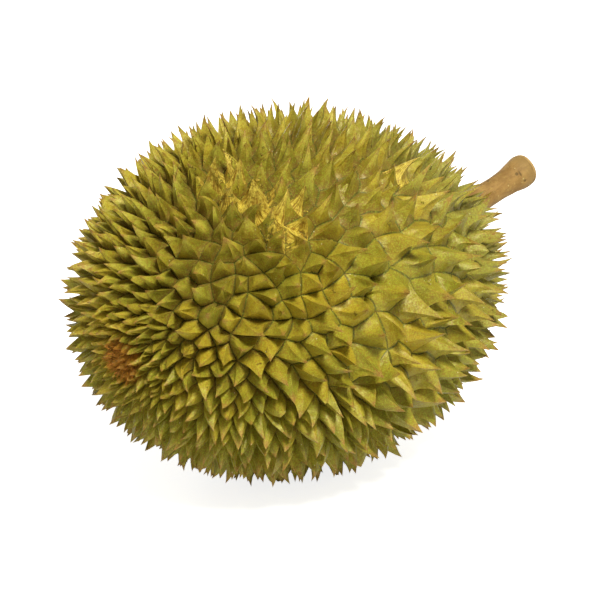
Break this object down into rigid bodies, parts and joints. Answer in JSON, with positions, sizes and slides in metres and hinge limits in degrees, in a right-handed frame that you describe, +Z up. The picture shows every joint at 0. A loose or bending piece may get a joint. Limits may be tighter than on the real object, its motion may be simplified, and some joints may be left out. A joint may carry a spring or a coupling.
{
  "type": "durian",
  "caption": "Whole durian lying on its side: a closed oval husk covered in sharp pyramid spines, with its stem and swollen stem knob.",
  "frame": {"origin": "centre of the bounding box's bottom face, on the surface that the fruit lies on", "axes": "+X along the fruit from the blossom end to the stem, +Z up"},
  "size_m": [0.2878, 0.2048, 0.1925],
  "materials": {
    "rind": "fresh olive-green rind, satin, with tan spine tips",
    "bark": "matte tan bark with small dark pores"
  },
  "bodies": {
    "root": {"husk": "rind", "stem": "bark"}
  },
  "joints": []
}
